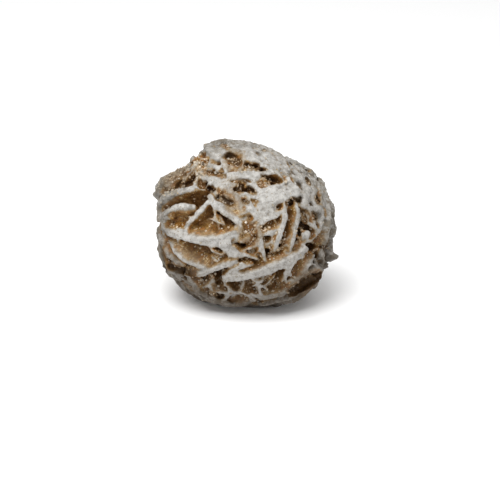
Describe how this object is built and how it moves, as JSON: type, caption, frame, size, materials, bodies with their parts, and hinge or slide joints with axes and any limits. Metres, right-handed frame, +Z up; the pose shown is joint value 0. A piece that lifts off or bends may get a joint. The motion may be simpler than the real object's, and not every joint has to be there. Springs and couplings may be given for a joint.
{
  "type": "desert rose",
  "caption": "Loose ball of intergrown gypsum plates with frosted rims, amber pockets and a crusted dome, resting on a flat face underneath.",
  "frame": {"origin": "centre of the bounding box's bottom, on the plane of the resting face", "axes": "+X to the right across the face with the large plates, +Y from that face into the rose, +Z up from the resting face"},
  "size_m": [0.0532, 0.0482, 0.0458],
  "materials": {
    "frosted_gypsum": "matte"
  },
  "bodies": {
    "root": {"desert_rose": "frosted_gypsum"}
  },
  "joints": []
}
